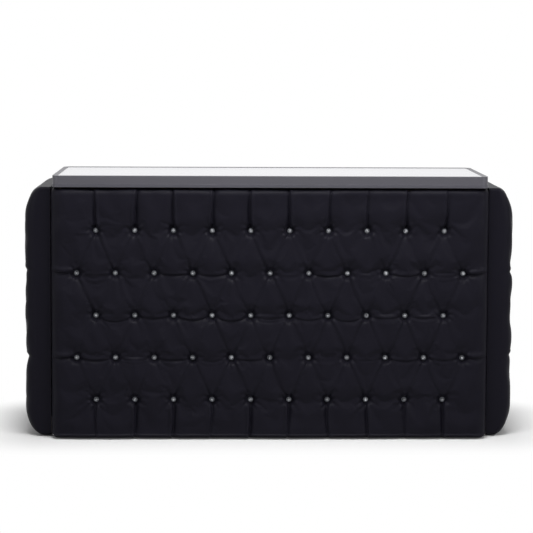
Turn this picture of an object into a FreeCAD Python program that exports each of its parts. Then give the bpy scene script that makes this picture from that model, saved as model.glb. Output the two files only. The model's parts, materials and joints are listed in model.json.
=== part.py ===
"""Portable bar: a tube front frame on two wheels, two wings that fold in behind it, a lift-off
counter, a lift-off work rack, and diamond-tufted panels on the front and on both wings.

Millimetres. X runs along the counter, the customer side faces -Y, Z is up. The origin is on the
floor, in the middle of the bar's box.
"""
import FreeCAD, Part

import math
import os

V = FreeCAD.Vector

# Counter
COUNTER_LENGTH = 1756.0
COUNTER_DEPTH = 580.0
COUNTER_HEIGHT = 1070.0
COUNTER_SETBACK = 4.0
CORNER_RADIUS = 32.0
TRIM_HEIGHT = 46.0
TRIM_WALL = 3.0
TRIM_LIP = 20.0
TRIM_BEAD_HEIGHT = 13.0
TRIM_BEAD_DEPTH = 2.0
TRIM_ROUND = 1.2
DECK_SHEET = 1.5
CORE_BOARD = 20.0
BATTEN_WIDTH = 40.0
PEG_RADIUS = 5.0
PEG_REACH = 22.0
PEG_GRIP = 18.0
PEG_CLEARANCE = 0.4
PEG_INSET = 295.0
MAGNET_RADIUS = 9.0
MAGNET_HEIGHT = 10.0
MAGNET_SPACING = 260.0

# Tube frame
TUBE = 30.0
TUBE_WALL = 2.0
FRAME_STEP = 5.0
RAIL_LIFT = 76.0
MID_POST_MARGIN = 40.0
MID_RAIL_LIFT = 700.0
GUSSET_LEG = 84.0
GUSSET_PLATE = 4.0
CAP_FLANGE = 3.0
PLUG_LENGTH = 15.0

# Wings and their hinges
WING_LENGTH = 480.0
HINGE_GAP = 3.0
HINGE_OFFSET = 5.5
HINGE_LEAF = 3.0
HINGE_LEAF_WIDTH = 26.0
HINGE_HEIGHT = 90.0
HINGE_INSET = 144.0
KNUCKLE_RADIUS = 5.0
KNUCKLE_MIDDLE = 30.0
KNUCKLE_CLEARANCE = 0.6
KNUCKLE_PLAY = 0.3
PIN_RADIUS = 3.0
PIN_CLEARANCE = 0.05
PIN_HEAD_RADIUS = 4.5
PIN_HEAD = 2.0
BUMPER_RADIUS = 7.0
BUMPER_INSET = 12.0
BUMPER_END = 54.0
REST_CLEARANCE = 0.3
STRIKE_PLATE = 1.2
STRIKE_LENGTH = 40.0
STRIKE_WIDTH = 26.0
FOOT_SOLE = 14.0
FOOT_HEIGHT = 40.0
FOOT_WALL = 3.0

# Panels, pads and buttons
FASTENER = 6.0
FASTENER_WIDTH = 20.0
FASTENER_END = 24.0
PANEL_BOARD = 15.0
BOARD_INSET = 4.0
PANEL_LIFT = 5.0
PANEL_TOP_GAP = 4.0
PANEL_WRAP = 35.0
PAD_BASE = 44.0
PAD_CROWN = 84.0
WING_CROWN = 92.0
TUFT_LOW_MARGIN = 155.0
TUFT_TOP_MARGIN = 172.0
TUFT_ROWS = 5
FRONT_TUFT_MARGIN = 97.5
WING_TUFT_MARGIN = 115.5
FRONT_TUFTS = 10
WING_TUFTS = 2
PLEAT_WIDTH = 6.0
BUTTON_SEAT = 15.0
CUP_RADIUS = 10.0
CUP_HEIGHT = 5.0
CRYSTAL_RADIUS = 7.5
CRYSTAL_FOOT = 6.5
CRYSTAL_TABLE = 4.0
CRYSTAL_GIRDLE = 2.5
CRYSTAL_HEIGHT = 7.0
CRYSTAL_SIDES = 8
# Share of the cell outline and share of the puff's height at each ring of a tuft
PUFF_RINGS = ((1.0, 0.0), (0.95, 0.48), (0.82, 0.8), (0.6, 0.95), (0.3, 1.0))

# Work rack
RACK_INSET = 30.0
RACK_PLATE = 5.0
RACK_LEG = 25.0
HOOK_BAR = 6.0
HOOK_LIP = 3.0
HOOK_DROP = 22.0
HOOK_CLEARANCE = 1.0
ARM_LENGTH = 345.0
ARM_ROOT = 70.0
ARM_TIP = 25.0
UPPER_SHELF_HEIGHT = 690.0
LOWER_SHELF_HEIGHT = 300.0
SHELF_SHEET = 2.0
SHELF_LIP = 18.0
SHELF_WIDTH = 640.0
SHELF_SETBACK = 2.0
SHELF_END_PLAY = 3.0
SPEED_RAIL_DEPTH = 90.0
SPEED_RAIL_HEIGHT = 92.0
SPEED_RAIL_FACE = 74.0
RIVET_RADIUS = 2.4
RIVET_CLEARANCE = 0.1
RIVET_HEAD_RADIUS = 4.5
RIVET_HEAD = 1.5
RIVET_INSET = 70.0

# Wheels
WHEEL_RADIUS = 35.0
WHEEL_WIDTH = 22.0
WHEEL_INSET = 95.0
HUB_RADIUS = 24.0
HUB_RECESS = 4.0
HUB_RIM = 4.0
HUB_BOSS = 10.0
TYRE_ROUND = 3.0
AXLE_RADIUS = 5.0
AXLE_HEAD_RADIUS = 8.0
AXLE_HEAD = 3.0
AXLE_CLEARANCE = 0.05
BRACKET_PLATE = 3.0
BRACKET_WIDTH = 44.0

# Places that follow from the sizes above
DEPTH = PAD_CROWN + PANEL_BOARD + FASTENER + TUBE + HINGE_GAP + WING_LENGTH
Y_FRONT = -DEPTH / 2
Y_PAD_BACK = Y_FRONT + PAD_CROWN
Y_BOARD_BACK = Y_PAD_BACK + PANEL_BOARD
Y_FRAME = Y_BOARD_BACK + FASTENER
Y_REAR = Y_FRAME + TUBE
Y_WING = Y_REAR + HINGE_GAP
Y_WING_END = Y_WING + WING_LENGTH
Y_HINGE = Y_REAR + HINGE_GAP / 2
Y_COUNTER = Y_FRONT + COUNTER_SETBACK
Y_COUNTER_END = Y_COUNTER + COUNTER_DEPTH
FRAME_HALF = COUNTER_LENGTH / 2 + FRAME_STEP
POST_INNER = FRAME_HALF - TUBE
X_HINGE = POST_INNER - HINGE_OFFSET
Z_SEAT = COUNTER_HEIGHT - TRIM_HEIGHT
Z_DECK = COUNTER_HEIGHT - TRIM_WALL
Z_CORE = Z_DECK - CORE_BOARD
Z_PANEL_TOP = Z_SEAT - PANEL_TOP_GAP
Z_WING_RAIL_TOP = Z_SEAT - REST_CLEARANCE - STRIKE_PLATE
Z_POST_FOOT = RAIL_LIFT + TUBE
Z_POST_TOP = Z_SEAT - TUBE
X_PEG = FRAME_HALF - PEG_INSET
X_WHEEL = FRAME_HALF - WHEEL_INSET
X_MID_POST = SHELF_WIDTH / 2 + MID_POST_MARGIN
HINGE_HEIGHTS = (Z_POST_FOOT + HINGE_INSET, (Z_POST_FOOT + Z_POST_TOP) / 2, Z_POST_TOP - HINGE_INSET)
BUMPER_HEIGHTS = (Z_POST_FOOT + BUMPER_END, Z_POST_TOP - BUMPER_END)


def box(low, high):
    """A block between two corners."""
    low = V(*low)
    size = V(*high) - low
    return Part.makeBox(size.x, size.y, size.z, low)


def cylinder(radius, start, end):
    """A round bar from one point to another."""
    start = V(*start)
    run = V(*end) - start
    return Part.makeCylinder(radius, run.Length, start, run)


def tube(low, high, along):
    """A square tube between two corners, open at both ends of the axis it runs along."""
    inner_low = [value + TUBE_WALL for value in low]
    inner_high = [value - TUBE_WALL for value in high]
    inner_low[along] = low[along]
    inner_high[along] = high[along]
    return box(low, high).cut(box(inner_low, inner_high))


def prism(points, run):
    """A flat outline through the points, carried along the vector run."""
    corners = [V(*point) for point in points]
    face = Part.Face(Part.makePolygon(corners + corners[:1]))
    return face.extrude(V(*run))


def rounded_plate(inset, z_low, z_high):
    """The counter's plan, drawn in by an inset, between two heights."""
    half = COUNTER_LENGTH / 2 - inset
    plate = box((-half, Y_COUNTER + inset, z_low), (half, Y_COUNTER_END - inset, z_high))
    upright = [edge for edge in plate.Edges if abs(edge.tangentAt(edge.FirstParameter).z) > 0.5]
    return plate.makeFillet(CORNER_RADIUS - inset, upright)


def mirrored(shape):
    """The same shape on the other side of the bar."""
    return shape.mirror(V(0, 0, 0), V(1, 0, 0))


def both_sides(shapes):
    """Shapes of the right side with their twins on the left."""
    return shapes + [mirrored(shape) for shape in shapes]


# Front frame

def front_top_rail():
    """The rail under the counter, with two sockets for the counter's pegs."""
    rail = tube((-FRAME_HALF, Y_FRAME, Z_SEAT - TUBE), (FRAME_HALF, Y_REAR, Z_SEAT), 0)
    y = Y_FRAME + TUBE / 2
    for x in (-X_PEG, X_PEG):
        socket = cylinder(PEG_RADIUS + PEG_CLEARANCE, (x, y, Z_SEAT - 2 * TUBE_WALL), (x, y, Z_SEAT))
        rail = rail.cut(socket)
    return [rail]


def front_bottom_rail():
    return [tube((-FRAME_HALF, Y_FRAME, RAIL_LIFT), (FRAME_HALF, Y_REAR, Z_POST_FOOT), 0)]


def front_mid_rail():
    """The short rail between the mid posts that the work rack hangs on."""
    half = X_MID_POST - TUBE / 2
    top = MID_RAIL_LIFT + TUBE
    return [tube((-half, Y_FRAME, MID_RAIL_LIFT), (half, Y_REAR, top), 0)]


def front_post(x):
    """An upright between the bottom and the top rail, centred on x."""
    low = (x - TUBE / 2, Y_FRAME, Z_POST_FOOT)
    return tube(low, (x + TUBE / 2, Y_REAR, Z_POST_TOP), 2)


def front_end_posts():
    return both_sides([front_post(FRAME_HALF - TUBE / 2)])


def front_mid_posts():
    return both_sides([front_post(X_MID_POST)])


def front_gussets():
    """Welded triangles in the four corners of the frame."""
    y = Y_FRAME + (TUBE - GUSSET_PLATE) / 2
    plates = []
    for corner_z, leg in ((Z_POST_FOOT, GUSSET_LEG), (Z_POST_TOP, -GUSSET_LEG)):
        points = ((POST_INNER, y, corner_z), (POST_INNER - GUSSET_LEG, y, corner_z),
                  (POST_INNER, y, corner_z + leg))
        plates.append(prism(points, (0, GUSSET_PLATE, 0)))
    return both_sides(plates)


def rail_end_caps():
    """Plugs with a thin flange in the open ends of the top and bottom rails."""
    caps = []
    for z in (RAIL_LIFT, Z_SEAT - TUBE):
        flange = box((FRAME_HALF, Y_FRAME, z), (FRAME_HALF + CAP_FLANGE, Y_REAR, z + TUBE))
        plug = box((FRAME_HALF - PLUG_LENGTH, Y_FRAME + TUBE_WALL, z + TUBE_WALL),
                   (FRAME_HALF, Y_REAR - TUBE_WALL, z + TUBE - TUBE_WALL))
        caps.append(flange.fuse(plug).removeSplitter())
    return both_sides(caps)


def stop_bumpers():
    """Rubber discs that a wing closes against when it is opened out."""
    x = FRAME_HALF - BUMPER_INSET
    reach = Y_WING - REST_CLEARANCE
    return both_sides([cylinder(BUMPER_RADIUS, (x, Y_REAR, z), (x, reach, z)) for z in BUMPER_HEIGHTS])


def knuckle(radius, low, high):
    """A length of hinge barrel on the right wing's axis."""
    return cylinder(radius, (X_HINGE, Y_HINGE, low), (X_HINGE, Y_HINGE, high))


def hinge_leaf(middle, frame_side):
    """One leaf of a butt hinge. The frame's leaf carries the two outer knuckles, the wing's leaf
    the middle one, and each leaf is cut back around the other's knuckles."""
    low = middle - HINGE_HEIGHT / 2
    high = middle + HINGE_HEIGHT / 2
    joint_low = middle - KNUCKLE_MIDDLE / 2
    joint_high = middle + KNUCKLE_MIDDLE / 2
    outer = ((low, joint_low), (joint_high, high))
    inner = ((joint_low + KNUCKLE_PLAY, joint_high - KNUCKLE_PLAY),)
    own, other = (outer, ((joint_low, joint_high),)) if frame_side else (inner, outer)
    near = Y_HINGE - KNUCKLE_PLAY if frame_side else Y_HINGE + KNUCKLE_PLAY
    far = Y_REAR - HINGE_LEAF_WIDTH if frame_side else Y_WING + HINGE_LEAF_WIDTH
    leaf = box((POST_INNER - HINGE_LEAF, min(near, far), low), (POST_INNER, max(near, far), high))
    for start, end in other:
        room = knuckle(KNUCKLE_RADIUS + KNUCKLE_CLEARANCE, start - KNUCKLE_PLAY, end + KNUCKLE_PLAY)
        leaf = leaf.cut(room)
    for start, end in own:
        leaf = leaf.fuse(knuckle(KNUCKLE_RADIUS, start, end))
    return leaf.cut(knuckle(PIN_RADIUS + PIN_CLEARANCE, low, high)).removeSplitter()


def hinge_frame_leaves():
    return both_sides([hinge_leaf(middle, True) for middle in HINGE_HEIGHTS])


def hinge_pins():
    """Headed pins through the knuckles."""
    pins = []
    for middle in HINGE_HEIGHTS:
        low = middle - HINGE_HEIGHT / 2
        high = middle + HINGE_HEIGHT / 2
        shank = knuckle(PIN_RADIUS, low, high)
        heads = [knuckle(PIN_HEAD_RADIUS, low - PIN_HEAD, low),
                 knuckle(PIN_HEAD_RADIUS, high, high + PIN_HEAD)]
        pins.append(shank.multiFuse(heads).removeSplitter())
    return both_sides(pins)


def wheel_brackets():
    """U brackets under the bottom rail, rounded about the axle."""
    x = X_WHEEL
    half = BRACKET_WIDTH / 2
    cheek = box((x - half, Y_FRAME, WHEEL_RADIUS), (x + half, Y_REAR, RAIL_LIFT))
    cheek = cheek.fuse(cylinder(half, (x, Y_FRAME, WHEEL_RADIUS), (x, Y_REAR, WHEEL_RADIUS)))
    slot = box((x - half, Y_FRAME + BRACKET_PLATE, WHEEL_RADIUS - half),
               (x + half, Y_REAR - BRACKET_PLATE, RAIL_LIFT - BRACKET_PLATE))
    hole = cylinder(AXLE_RADIUS + AXLE_CLEARANCE, (x, Y_FRAME, WHEEL_RADIUS), (x, Y_REAR, WHEEL_RADIUS))
    return both_sides([cheek.cut(slot).cut(hole).removeSplitter()])


def wheel_axles():
    """Headed axles across the brackets."""
    x = X_WHEEL
    shank = cylinder(AXLE_RADIUS, (x, Y_FRAME, WHEEL_RADIUS), (x, Y_REAR, WHEEL_RADIUS))
    near = cylinder(AXLE_HEAD_RADIUS, (x, Y_FRAME - AXLE_HEAD, WHEEL_RADIUS), (x, Y_FRAME, WHEEL_RADIUS))
    far = cylinder(AXLE_HEAD_RADIUS, (x, Y_REAR, WHEEL_RADIUS), (x, Y_REAR + AXLE_HEAD, WHEEL_RADIUS))
    return both_sides([shank.multiFuse([near, far]).removeSplitter()])


# Wheels

def wheel_hub(x):
    """A hub with a recess on each side between its boss and its rim."""
    y = Y_FRAME + TUBE / 2
    near = y - WHEEL_WIDTH / 2
    far = y + WHEEL_WIDTH / 2
    hub = cylinder(HUB_RADIUS, (x, near, WHEEL_RADIUS), (x, far, WHEEL_RADIUS))
    for start, end in ((near, near + HUB_RECESS), (far - HUB_RECESS, far)):
        ring = cylinder(HUB_RADIUS - HUB_RIM, (x, start, WHEEL_RADIUS), (x, end, WHEEL_RADIUS))
        boss = cylinder(HUB_BOSS, (x, start, WHEEL_RADIUS), (x, end, WHEEL_RADIUS))
        hub = hub.cut(ring.cut(boss))
    bore = cylinder(AXLE_RADIUS + AXLE_CLEARANCE, (x, near, WHEEL_RADIUS), (x, far, WHEEL_RADIUS))
    return [hub.cut(bore)]


def wheel_tyre(x):
    """A rubber tyre with rounded shoulders, bonded on the hub."""
    y = Y_FRAME + TUBE / 2
    near = (x, y - WHEEL_WIDTH / 2, WHEEL_RADIUS)
    far = (x, y + WHEEL_WIDTH / 2, WHEEL_RADIUS)
    tread = cylinder(WHEEL_RADIUS, near, far)
    shoulders = [edge for edge in tread.Edges if len(edge.Vertexes) == 1]
    return [tread.makeFillet(TYRE_ROUND, shoulders).cut(cylinder(HUB_RADIUS, near, far))]


# Tufted panels, drawn flat: u across, v up from the floor, w out of the panel

# A panel is its count of buttons in a short row, its half width, its side margin and its crown

def tuft_rows():
    """Heights of the rows of buttons, evenly spaced between the panel's margins."""
    low = PANEL_LIFT + TUFT_LOW_MARGIN
    pitch = (Z_PANEL_TOP - TUFT_TOP_MARGIN - low) / (TUFT_ROWS - 1)
    return [low + pitch * row for row in range(TUFT_ROWS)]


def tuft_columns(panel):
    """Places of the buttons in a short row and in a long row, which has one button more and
    reaches out to the panel's side margins."""
    count, half, margin = panel[:3]
    pitch = 2 * (half - margin) / count
    short = [(index - (count - 1) / 2) * pitch for index in range(count)]
    long = [(index - count / 2) * pitch for index in range(count + 1)]
    return short, long


def button_places(panel):
    """Short rows and long rows of buttons in turn, from a short one at the bottom."""
    short, long = tuft_columns(panel)
    return [(u, v) for row, v in enumerate(tuft_rows()) for u in (long if row % 2 else short)]


def tuft_cells(panel):
    """Outlines of the puffs between the buttons: whole diamonds in the field, and cells that run
    out to the panel's edges along straight pleats."""
    count, half = panel[:2]
    short, long = tuft_columns(panel)
    rows = tuft_rows()
    low, high = PANEL_LIFT, Z_PANEL_TOP
    cells = []
    for row in (1, 3):
        for index, u in enumerate(short):
            cells.append([(long[index], rows[row]), (u, rows[row - 1]),
                          (long[index + 1], rows[row]), (u, rows[row + 1])])
    for index in range(count - 1):
        left, right, between = short[index], short[index + 1], long[index + 1]
        cells.append([(left, rows[2]), (between, rows[1]), (right, rows[2]), (between, rows[3])])
        cells.append([(left, low), (right, low), (right, rows[0]), (between, rows[1]), (left, rows[0])])
        cells.append([(left, high), (left, rows[4]), (between, rows[3]), (right, rows[4]), (right, high)])
    for side in (-1, 1):
        edge, first, second = side * half, side * long[-1], side * short[-1]
        around = [[(edge, rows[1]), (edge, rows[3]), (first, rows[3]), (second, rows[2]), (first, rows[1])],
                  [(edge, low), (edge, rows[1]), (first, rows[1]), (second, rows[0]), (second, low)],
                  [(edge, high), (second, high), (second, rows[4]), (first, rows[3]), (edge, rows[3])]]
        cells += around if side > 0 else [cell[::-1] for cell in around]
    return cells


def drawn_in(outline, inset):
    """A convex outline, anticlockwise, with every side moved inwards by the inset."""
    result = []
    count = len(outline)
    for index in range(count):
        before, here, after = (V(*outline[(index + step) % count], 0) for step in (-1, 0, 1))
        first = (here - before).normalize()
        second = (after - here).normalize()
        inward = V(-first.y, first.x, 0) + V(-second.y, second.x, 0)
        turn = 1 + first.dot(second)
        moved = here + inward * (inset / turn)
        result.append((moved.x, moved.y))
    return result


def cut_at_buttons(outline, buttons):
    """The outline with each corner that is a button cut square, clear of the button's seat."""
    result = []
    count = len(outline)
    for index, corner in enumerate(outline):
        if corner not in buttons:
            result.append(corner)
            continue
        here = V(*corner, 0)
        arms = [(V(*outline[(index + step) % count], 0) - here).normalize() for step in (-1, 1)]
        reach = BUTTON_SEAT / math.cos(arms[0].getAngle(arms[1]) / 2)
        result += [((here + arm * reach).x, (here + arm * reach).y) for arm in arms]
    return result


def puff(outline, crown):
    """One stuffed cell: rings that shrink towards the middle as they rise to the crown, joined by
    flat sides. The lowest ring is sunk to half the depth of the base, so that the two grow together."""
    base = drawn_in(outline, PLEAT_WIDTH / 2)
    middle = sum((V(u, v, 0) for u, v in base), V()) / len(base)
    rings = [(1.0, PAD_BASE / 2)]
    rings += [(share, PAD_BASE + rise * (crown - PAD_BASE)) for share, rise in PUFF_RINGS]
    wires = []
    for share, w in rings:
        points = [middle + (V(u, v, 0) - middle) * share + V(0, 0, w) for u, v in base]
        wires.append(Part.makePolygon(points + points[:1]))
    return Part.makeLoft(wires, True, True)


def tufted_pad(panel):
    """A pad with a flat back, sewn down at the buttons and along the pleats."""
    half, crown = panel[1], panel[3]
    base = box((-half, PANEL_LIFT, 0), (half, Z_PANEL_TOP, PAD_BASE))
    buttons = set(button_places(panel))
    puffs = [puff(cut_at_buttons(cell, buttons), crown) for cell in tuft_cells(panel)]
    return [base.multiFuse(puffs).removeSplitter()]


def button_cups(panel):
    """Metal cups that hold the crystals, seated on the sewn-down base."""
    top = PAD_BASE + CUP_HEIGHT
    return [cylinder(CUP_RADIUS, (u, v, PAD_BASE), (u, v, top)) for u, v in button_places(panel)]


def crystal(u, v):
    """A faceted crystal: a short pavilion up to the girdle, then a crown up to the table."""
    seat = PAD_BASE + CUP_HEIGHT
    wires = []
    for radius, w in ((CRYSTAL_FOOT, seat), (CRYSTAL_RADIUS, seat + CRYSTAL_GIRDLE),
                      (CRYSTAL_TABLE, seat + CRYSTAL_HEIGHT)):
        turns = [2 * math.pi * (side + 0.5) / CRYSTAL_SIDES for side in range(CRYSTAL_SIDES)]
        points = [V(u + radius * math.cos(turn), v + radius * math.sin(turn), w) for turn in turns]
        wires.append(Part.makePolygon(points + points[:1]))
    return Part.makeLoft(wires, True, True)


def crystals(panel):
    return [crystal(u, v) for u, v in button_places(panel)]


def on_front(shapes):
    """Flat panel shapes stood up on the front board, with w towards the customer."""
    place = FreeCAD.Placement(V(0, Y_PAD_BACK, 0), FreeCAD.Rotation(V(1, 0, 0), 90))
    return [shape.transformed(place.Matrix) for shape in shapes]


def wing_middle():
    return (Y_FRAME - PANEL_WRAP + Y_WING_END) / 2


def wing_half():
    return (Y_WING_END - Y_FRAME + PANEL_WRAP) / 2


def wing_pad_back():
    return FRAME_HALF + FASTENER + PANEL_BOARD


def on_wing(shapes):
    """Flat panel shapes stood up on the right wing's board, with w away from the bar."""
    place = FreeCAD.Placement(V(wing_pad_back(), wing_middle(), 0), FreeCAD.Rotation(V(1, 1, 1), 120))
    return [shape.transformed(place.Matrix) for shape in shapes]


def front_panel_board():
    half = COUNTER_LENGTH / 2 - BOARD_INSET
    low = (-half, Y_PAD_BACK, PANEL_LIFT + BOARD_INSET)
    return [box(low, (half, Y_BOARD_BACK, Z_PANEL_TOP - BOARD_INSET))]


def layered(low, high, across):
    """A reclosable fastening strip: two equal layers that meet halfway across the gap."""
    middle = (low[across] + high[across]) / 2
    under = list(high)
    over = list(low)
    under[across] = middle
    over[across] = middle
    return [box(low, under), box(over, high)]


def front_fastening_strips():
    """Strips between the board and the frame, on the rails and on the posts."""
    strips = []
    margin = (TUBE - FASTENER_WIDTH) / 2
    half = X_MID_POST - TUBE
    for z in (RAIL_LIFT + margin, Z_SEAT - TUBE + margin - PANEL_TOP_GAP):
        strips += layered((-half, Y_BOARD_BACK, z), (half, Y_FRAME, z + FASTENER_WIDTH), 1)
    uprights = []
    for x in (X_MID_POST, FRAME_HALF - TUBE / 2 - FRAME_STEP):
        low = (x - FASTENER_WIDTH / 2, Y_BOARD_BACK, Z_POST_FOOT + FASTENER_END)
        high = (x + FASTENER_WIDTH / 2, Y_FRAME, Z_POST_TOP - FASTENER_END)
        uprights += layered(low, high, 1)
    return strips + both_sides(uprights)


# Wings, drawn on the right

def wing_rails():
    """Bottom rail, mid rail between the posts, and top rail over both posts."""
    rear = Y_WING_END - TUBE
    low_mid = (POST_INNER, Y_WING + TUBE, MID_RAIL_LIFT)
    low_top = (POST_INNER, Y_WING, Z_WING_RAIL_TOP - TUBE)
    return [tube((POST_INNER, Y_WING, RAIL_LIFT), (FRAME_HALF, rear, Z_POST_FOOT), 1),
            tube(low_mid, (FRAME_HALF, rear, MID_RAIL_LIFT + TUBE), 1),
            tube(low_top, (FRAME_HALF, Y_WING_END, Z_WING_RAIL_TOP), 1)]


def wing_posts():
    """The hinge post on the bottom rail, and the rear post that runs down to the foot."""
    top = Z_WING_RAIL_TOP - TUBE
    return [tube((POST_INNER, Y_WING, Z_POST_FOOT), (FRAME_HALF, Y_WING + TUBE, top), 2),
            tube((POST_INNER, Y_WING_END - TUBE, FOOT_SOLE), (FRAME_HALF, Y_WING_END, top), 2)]


def wing_rail_plug():
    """A flush plug in the open rear end of the top rail."""
    low = (POST_INNER + TUBE_WALL, Y_WING_END - PLUG_LENGTH, Z_WING_RAIL_TOP - TUBE + TUBE_WALL)
    return [box(low, (FRAME_HALF - TUBE_WALL, Y_WING_END, Z_WING_RAIL_TOP - TUBE_WALL))]


def wing_hinge_leaves():
    return [hinge_leaf(middle, False) for middle in HINGE_HEIGHTS]


def wing_foot():
    """A rubber cup over the lower end of the rear post, level with the floor."""
    low = (POST_INNER - FOOT_WALL, Y_WING_END - TUBE - FOOT_WALL, 0)
    cup = box(low, (FRAME_HALF + FOOT_WALL, Y_WING_END, FOOT_HEIGHT))
    pocket = box((POST_INNER, Y_WING_END - TUBE, FOOT_SOLE), (FRAME_HALF, Y_WING_END, FOOT_HEIGHT))
    return [cup.cut(pocket)]


def magnet_middles():
    """Places of the two magnets over a wing's top rail."""
    y = (Y_WING + Y_COUNTER_END) / 2
    return [y - MAGNET_SPACING / 2, y + MAGNET_SPACING / 2]


def wing_strike_plates():
    """Steel plates on the top rail that the magnets hold."""
    x = POST_INNER + TUBE / 2
    plates = []
    for y in magnet_middles():
        low = (x - STRIKE_WIDTH / 2, y - STRIKE_LENGTH / 2, Z_WING_RAIL_TOP)
        high = (x + STRIKE_WIDTH / 2, y + STRIKE_LENGTH / 2, Z_WING_RAIL_TOP + STRIKE_PLATE)
        plates.append(box(low, high))
    return plates


def wing_panel_board():
    low = (FRAME_HALF + FASTENER, wing_middle() - wing_half() + BOARD_INSET, PANEL_LIFT + BOARD_INSET)
    return [box(low, (wing_pad_back(), Y_WING_END - BOARD_INSET, Z_PANEL_TOP - BOARD_INSET))]


def wing_fastening_strips():
    """Strips between the wing's tubes and its board."""
    strips = []
    margin = (TUBE - FASTENER_WIDTH) / 2
    for z in (RAIL_LIFT, MID_RAIL_LIFT, Z_WING_RAIL_TOP - TUBE - PANEL_TOP_GAP):
        low = (FRAME_HALF, Y_WING + TUBE + FASTENER_END, z + margin)
        high = (FRAME_HALF + FASTENER, Y_WING_END - TUBE - FASTENER_END, z + margin + FASTENER_WIDTH)
        strips += layered(low, high, 0)
    return strips


# Counter

def rounded_rim(plate):
    """A plate with its upper rim rounded over."""
    top = plate.BoundBox.ZMax
    rim = [edge for edge in plate.Edges if abs(edge.CenterOfMass.z - top) < TRIM_ROUND / 10]
    return plate.makeFillet(TRIM_ROUND, rim)


def counter_edge_trim():
    """One bent edging: an upright wall, a lip over the core and a proud bead along the lower edge."""
    face = TRIM_BEAD_DEPTH
    shell = rounded_rim(rounded_plate(face, Z_SEAT, COUNTER_HEIGHT))
    bead = rounded_rim(rounded_plate(0.0, Z_SEAT, Z_SEAT + TRIM_BEAD_HEIGHT))
    block = shell.fuse(bead).cut(rounded_plate(face + TRIM_WALL, Z_SEAT, Z_DECK))
    opening = rounded_plate(face + TRIM_LIP, Z_DECK, COUNTER_HEIGHT)
    return [block.cut(opening).removeSplitter()]


def counter_core():
    return [rounded_plate(TRIM_BEAD_DEPTH + TRIM_WALL, Z_CORE, Z_DECK)]


def counter_deck():
    return [rounded_plate(TRIM_BEAD_DEPTH + TRIM_LIP, Z_DECK, Z_DECK + DECK_SHEET)]


def counter_pegs():
    """Pegs from the front batten down into the top rail's sockets."""
    y = Y_FRAME + TUBE / 2
    spots = (-X_PEG, X_PEG)
    return [cylinder(PEG_RADIUS, (x, y, Z_SEAT - PEG_REACH), (x, y, Z_SEAT + PEG_GRIP)) for x in spots]


def counter_magnets():
    """Cup magnets let into the end battens, flush with their undersides."""
    x = COUNTER_LENGTH / 2 - TRIM_BEAD_DEPTH - TRIM_WALL - MAGNET_RADIUS - TRIM_WALL
    top = Z_SEAT + MAGNET_HEIGHT
    return both_sides([cylinder(MAGNET_RADIUS, (x, y, Z_SEAT), (x, y, top)) for y in magnet_middles()])


def counter_battens():
    """Battens under the core over the front rail, over both wings and along the rear edge."""
    inside = TRIM_BEAD_DEPTH + TRIM_WALL
    outer = COUNTER_LENGTH / 2 - inside
    inner = outer - BATTEN_WIDTH
    front = Y_FRAME + (TUBE - BATTEN_WIDTH) / 2
    rear = Y_COUNTER_END - CORNER_RADIUS
    ends = both_sides([box((inner, front, Z_SEAT), (outer, rear, Z_CORE))])
    front_batten = box((-inner, front, Z_SEAT), (inner, front + BATTEN_WIDTH, Z_CORE))
    rear_batten = box((-inner, rear - BATTEN_WIDTH, Z_SEAT), (inner, rear, Z_CORE))
    for magnet in counter_magnets():
        ends = [end.cut(magnet) for end in ends]
    for peg in counter_pegs():
        front_batten = front_batten.cut(peg)
    return [front_batten, rear_batten] + ends


# Work rack

def rack_brackets():
    """Plates that hook over the mid rail, lean on the bottom rail and carry both shelves."""
    x = SHELF_WIDTH / 2 - RACK_INSET - RACK_PLATE / 2
    rail_top = MID_RAIL_LIFT + TUBE
    hook_top = rail_top + HOOK_BAR
    lip_in = Y_FRAME - HOOK_CLEARANCE
    lip_out = lip_in - HOOK_LIP
    lip_low = rail_top - HOOK_DROP
    leg = Y_REAR + RACK_LEG
    tip = leg + ARM_LENGTH
    upper, lower = UPPER_SHELF_HEIGHT, LOWER_SHELF_HEIGHT
    outline = [(lip_out, lip_low), (lip_out, hook_top), (leg, hook_top)]
    for top in (upper, lower):
        outline += [(leg, top), (tip, top), (tip, top - ARM_TIP), (leg, top - ARM_ROOT)]
    outline += [(leg, RAIL_LIFT), (Y_REAR, RAIL_LIFT), (Y_REAR, rail_top),
                (lip_in, rail_top), (lip_in, lip_low)]
    points = [(x, y, z) for y, z in outline]
    return both_sides([prism(points, (RACK_PLATE, 0, 0))])


def shelf_span():
    """Front and rear edges of both shelves: behind the legs, and just past the arms' tips."""
    front = Y_REAR + RACK_LEG + SHELF_SETBACK
    return front, Y_REAR + RACK_LEG + ARM_LENGTH + SHELF_END_PLAY + SHELF_SHEET


def shelf(top):
    """A sheet shelf on the arms, turned down at the rear and at both ends."""
    front, rear = shelf_span()
    half = SHELF_WIDTH / 2
    block = box((-half, front, top - SHELF_LIP), (half, rear, top + SHELF_SHEET))
    inner = half - SHELF_SHEET
    hollow = box((-inner, front, top - SHELF_LIP), (inner, rear - SHELF_SHEET, top))
    return block.cut(hollow)


def rivet_line():
    """Places of the rivets through the upper shelf's rear lip and the speed rail's wall."""
    z = UPPER_SHELF_HEIGHT - SHELF_LIP / 2
    rear = shelf_span()[1]
    half = SHELF_WIDTH / 2 - RIVET_INSET
    return [(x, rear, z) for x in (-half, 0.0, half)]


def rivet_holes(shape):
    for x, y, z in rivet_line():
        hole = cylinder(RIVET_RADIUS + RIVET_CLEARANCE, (x, y - SHELF_SHEET, z), (x, y + SHELF_SHEET, z))
        shape = shape.cut(hole)
    return shape


def upper_shelf():
    return [rivet_holes(shelf(UPPER_SHELF_HEIGHT))]


def lower_shelf():
    return [shelf(LOWER_SHELF_HEIGHT)]


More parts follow.
